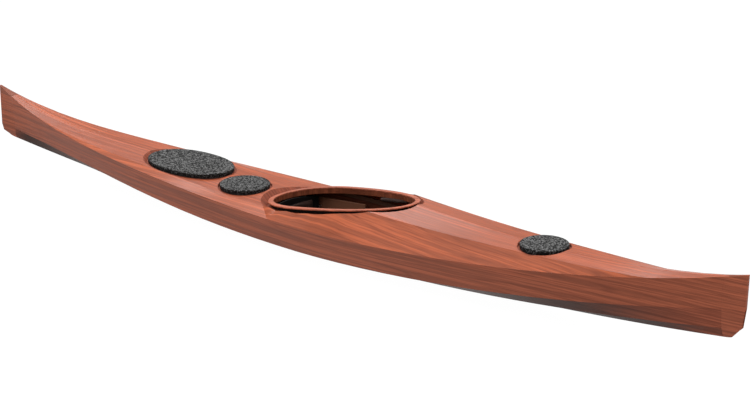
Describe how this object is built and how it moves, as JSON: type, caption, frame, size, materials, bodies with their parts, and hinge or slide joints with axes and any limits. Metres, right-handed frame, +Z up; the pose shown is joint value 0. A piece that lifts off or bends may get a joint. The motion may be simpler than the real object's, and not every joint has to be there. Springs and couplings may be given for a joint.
{
  "type": "decked touring kayak",
  "caption": "Long narrow decked kayak of chined wood panels with a raked oval cockpit coaming, black hatch covers in recesses, seat, back band and sliding foot pedals.",
  "frame": {"origin": "bottom centre of the boat: halfway between the stem tips, on the centre plane, at the height of the keel's lowest point", "axes": "+X to the bow, +Y to port, +Z up"},
  "size_m": [4.88, 0.5998, 0.464],
  "materials": {
    "hull_wood": "gloss varnish on red-brown plywood",
    "deck_wood": "gloss varnish on orange-red plywood",
    "trim_wood": "gloss varnish",
    "inside_wood": "satin sealed",
    "hatch_rubber": "matt pebbled",
    "gasket_foam": "matt closed-cell foam",
    "black_band": "satin",
    "padding": "dark brown woven cover over foam",
    "nylon": "moulded",
    "alloy": "satin anodised",
    "steel": "brushed"
  },
  "bodies": {
    "boat": {"bow_stem": "hull_wood", "stern_stem": "hull_wood", "hull_bottom_port": "hull_wood", "hull_bottom_starboard": "hull_wood", "hull_bilge_port": "hull_wood", "hull_bilge_starboard": "hull_wood", "hull_side_port": "hull_wood", "hull_side_starboard": "hull_wood", "deck_outer_port": "deck_wood", "deck_outer_starboard": "deck_wood", "aftdeck_inner_port": "deck_wood", "aftdeck_inner_starboard": "deck_wood", "foredeck_inner_port": "deck_wood", "foredeck_inner_starboard": "deck_wood", "bowdeck_inner_port": "deck_wood", "bowdeck_inner_starboard": "deck_wood", "coaming_lip": "trim_wood", "coaming_riser": "trim_wood", "cockpit_recess_pan": "trim_wood", "fore_hatch_pan": "trim_wood", "day_hatch_pan": "trim_wood", "aft_hatch_pan": "trim_wood", "fore_bulkhead": "inside_wood", "day_bulkhead": "inside_wood", "aft_bulkhead": "inside_wood", "sheer_clamp_port": "inside_wood", "sheer_clamp_starboard": "inside_wood", "hip_plate_port": "inside_wood", "hip_plate_starboard": "inside_wood", "rail_pad_port_aft": "inside_wood", "rail_pad_port_fore": "inside_wood", "rail_pad_starboard_aft": "inside_wood", "rail_pad_starboard_fore": "inside_wood", "fore_hatch_gasket": "gasket_foam", "day_hatch_gasket": "gasket_foam", "aft_hatch_gasket": "gasket_foam", "coaming_channel_band": "black_band", "seat_base": "padding", "seat_pad": "padding", "thigh_brace_port": "padding", "thigh_brace_starboard": "padding", "foot_rail_port": "alloy", "foot_rail_starboard": "alloy", "rail_bolt_port_aft": "steel", "rail_bolt_port_fore": "steel", "rail_bolt_starboard_aft": "steel", "rail_bolt_starboard_fore": "steel"},
    "fore_hatch": {"fore_hatch_cover": "hatch_rubber"},
    "day_hatch": {"day_hatch_cover": "hatch_rubber"},
    "aft_hatch": {"aft_hatch_cover": "hatch_rubber"},
    "back_band": {"back_band_shell": "nylon", "back_band_pad": "padding", "back_band_pin_port": "steel", "back_band_pin_starboard": "steel"},
    "port_pedal": {"foot_pedal_port": "nylon"},
    "starboard_pedal": {"foot_pedal_starboard": "nylon"},
    "port_lever": {"lock_lever_port": "alloy"},
    "starboard_lever": {"lock_lever_starboard": "alloy"}
  },
  "joints": [
    {"name": "fore_hatch_lift", "type": "slide", "parent": "boat", "child": "fore_hatch", "axis": [0, 0, 1], "range_m": [0, 0.15]},
    {"name": "day_hatch_lift", "type": "slide", "parent": "boat", "child": "day_hatch", "axis": [0, 0, 1], "range_m": [0, 0.15]},
    {"name": "aft_hatch_lift", "type": "slide", "parent": "boat", "child": "aft_hatch", "axis": [0, 0, 1], "range_m": [0, 0.15]},
    {"name": "back_band_tilt", "type": "hinge", "parent": "boat", "child": "back_band", "pos_m": [-0.235, 0, 0.125], "axis": [0, 1, 0], "range_deg": [-12, 30]},
    {"name": "port_pedal_slide", "type": "slide", "parent": "boat", "child": "port_pedal", "axis": [0.9939, -0.09, 0.0639], "range_m": [-0.14, 0.14]},
    {"name": "port_lever_swing", "type": "hinge", "parent": "port_pedal", "child": "port_lever", "pos_m": [0.80248, 0.18162, 0.15984], "axis": [0.0261, -0.3708, -0.9284], "range_deg": [0, 12], "stiffness_Nm_per_rad": 0.2},
    {"name": "starboard_pedal_slide", "type": "slide", "parent": "boat", "child": "starboard_pedal", "axis": [0.9939, 0.09, 0.0639], "range_m": [-0.14, 0.14]},
    {"name": "starboard_lever_swing", "type": "hinge", "parent": "starboard_pedal", "child": "starboard_lever", "pos_m": [0.80248, -0.18162, 0.15984], "axis": [-0.0261, -0.3708, 0.9284], "range_deg": [0, 12], "stiffness_Nm_per_rad": 0.2}
  ]
}
